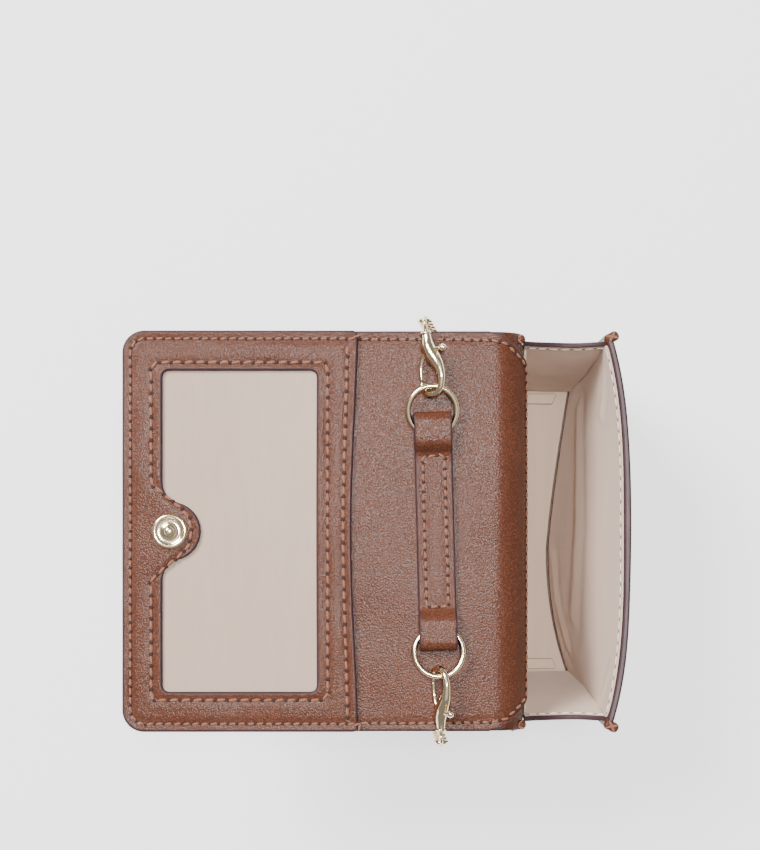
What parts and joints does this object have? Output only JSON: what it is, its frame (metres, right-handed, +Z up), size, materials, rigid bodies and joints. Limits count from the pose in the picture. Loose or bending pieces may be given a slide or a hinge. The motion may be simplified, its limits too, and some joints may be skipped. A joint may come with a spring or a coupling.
{
  "type": "chain wallet",
  "caption": "Small leather flap wallet standing open: gusseted pocket, flap with a card window and magnetic snap, and a detachable chain clipped to rings on a strap bar.",
  "frame": {"origin": "centre of the pocket's base, on the surface that it stands on", "axes": "+X out of the pocket's front, +Y along the wallet's width, +Z up"},
  "size_m": [0.139, 0.1199, 0.0909],
  "materials": {
    "outer_leather": "grained, semi-matt, painted edges",
    "inner_leather": "fine grain, semi-matt, tan stitching",
    "lining": "fine ribbed weave",
    "board": "matt board",
    "clear_film": "clear, glossy",
    "gold_metal": "pale gold plate, polished",
    "chain_metal": "pale gold plate, polished",
    "steel": "plain steel"
  },
  "bodies": {
    "pocket": {"base_leather": "outer_leather", "base_lining": "lining", "back_panel_leather": "outer_leather", "back_stiffener": "board", "back_lining": "lining", "gusset_left": "outer_leather", "gusset_left_lining": "lining", "gusset_right": "outer_leather", "gusset_right_lining": "lining", "back_fold_leather": "outer_leather", "back_fold_facing": "inner_leather", "chain_run_a": "chain_metal", "chain_run_b": "chain_metal", "chain_coil": "chain_metal"},
    "front_wall": {"front_panel_leather": "outer_leather", "front_stiffener": "board", "front_lining": "lining", "snap_cup": "gold_metal", "snap_magnet": "steel", "snap_cup_washer": "steel"},
    "flap_roof": {"roof_leather": "outer_leather", "roof_stiffener": "board", "roof_facing": "inner_leather", "strap_bar": "inner_leather", "front_fold_leather": "outer_leather", "front_fold_facing": "inner_leather"},
    "flap_front": {"flap_leather": "outer_leather", "flap_stiffener": "board", "flap_facing": "inner_leather", "id_backing": "lining", "id_film": "clear_film", "id_frame": "inner_leather", "snap_stud": "gold_metal", "snap_stud_washer": "steel"},
    "ring_a": {"ring_a": "gold_metal"},
    "eye_a": {"eye_a": "gold_metal"},
    "clasp_a": {"clasp_a_hook": "gold_metal", "gate_pin_a": "steel", "gate_spring_a": "steel"},
    "gate_a": {"gate_a": "gold_metal"},
    "chain_lead_a": {"chain_lead_a": "chain_metal"},
    "ring_b": {"ring_b": "gold_metal"},
    "eye_b": {"eye_b": "gold_metal"},
    "clasp_b": {"clasp_b_hook": "gold_metal", "gate_pin_b": "steel", "gate_spring_b": "steel"},
    "gate_b": {"gate_b": "gold_metal"},
    "chain_lead_b": {"chain_lead_b": "chain_metal"}
  },
  "joints": [
    {"name": "mouth_swing", "type": "hinge", "parent": "pocket", "child": "front_wall", "pos_m": [0.012, 0, 0.0012], "axis": [0, 1, 0], "range_deg": [-8, 0], "deforming": ["gusset_left", "gusset_left_lining", "gusset_right", "gusset_right_lining"]},
    {"name": "flap_back_fold", "type": "hinge", "parent": "pocket", "child": "flap_roof", "pos_m": [-0.0159, 0, 0.0797], "axis": [0, 1, 0], "range_deg": [0, 180], "deforming": ["back_fold_leather", "back_fold_facing"]},
    {"name": "flap_front_fold", "type": "hinge", "parent": "flap_roof", "child": "flap_front", "pos_m": [-0.0524, 0, 0.08185], "axis": [0, 1, 0], "range_deg": [0, 91.7], "deforming": ["front_fold_leather", "front_fold_facing"]},
    {"name": "ring_a_swing", "type": "hinge", "parent": "flap_roof", "child": "ring_a", "pos_m": [-0.03691, 0.02724, 0.084], "axis": [0.9997, 0.0262, 0], "range_deg": [0, 21]},
    {"name": "clasp_a_tilt", "type": "hinge", "parent": "ring_a", "child": "eye_a", "pos_m": [-0.03723, 0.03953, 0.08595], "axis": [0.9997, 0.0262, 0], "range_deg": [-35.7, 0]},
    {"name": "clasp_a_swivel", "type": "hinge", "parent": "eye_a", "child": "clasp_a", "pos_m": [-0.03915, 0.0563, 0.08506], "axis": [0.113, -0.9922, 0.0523], "range_deg": [0, 88]},
    {"name": "gate_a_open", "type": "hinge", "parent": "clasp_a", "child": "gate_a", "pos_m": [-0.03832, 0.04906, 0.08544], "axis": [-0.6164, -0.0287, 0.7869], "range_deg": [0, 20], "stiffness_Nm_per_rad": 0.004, "springref_deg": -28.65, "deforming": ["gate_spring_a"]},
    {"name": "chain_a_sway", "type": "hinge", "parent": "pocket", "child": "chain_lead_a", "pos_m": [-0.0317, 0.0578, 0.01], "axis": [0, 1, 0], "range_deg": [0, 37.4]},
    {"name": "ring_b_swing", "type": "hinge", "parent": "flap_roof", "child": "ring_b", "pos_m": [-0.03549, -0.02724, 0.084], "axis": [-0.9997, -0.0262, 0], "range_deg": [0, 21]},
    {"name": "clasp_b_tilt", "type": "hinge", "parent": "ring_b", "child": "eye_b", "pos_m": [-0.03517, -0.03953, 0.08595], "axis": [-0.9997, -0.0262, 0], "range_deg": [-35.7, 0]},
    {"name": "clasp_b_swivel", "type": "hinge", "parent": "eye_b", "child": "clasp_b", "pos_m": [-0.03472, -0.0564, 0.08506], "axis": [0.0261, -0.9983, -0.0523], "range_deg": [-14, 66]},
    {"name": "gate_b_open", "type": "hinge", "parent": "clasp_b", "child": "gate_b", "pos_m": [-0.03491, -0.04912, 0.08544], "axis": [0.865, 0.0488, -0.4993], "range_deg": [0, 20], "stiffness_Nm_per_rad": 0.004, "springref_deg": -28.65, "deforming": ["gate_spring_b"]},
    {"name": "chain_b_sway", "type": "hinge", "parent": "pocket", "child": "chain_lead_b", "pos_m": [-0.0355, -0.0579, 0.01], "axis": [0, 1, 0], "range_deg": [0, 30.8]}
  ],
  "couplings": [
    {"joint": "clasp_a_tilt", "follows": "ring_a_swing", "ratio": -1.7},
    {"joint": "chain_a_sway", "follows": "flap_back_fold", "ratio": 0.2051},
    {"joint": "clasp_b_tilt", "follows": "ring_b_swing", "ratio": -1.7},
    {"joint": "chain_b_sway", "follows": "flap_back_fold", "ratio": 0.1681}
  ]
}
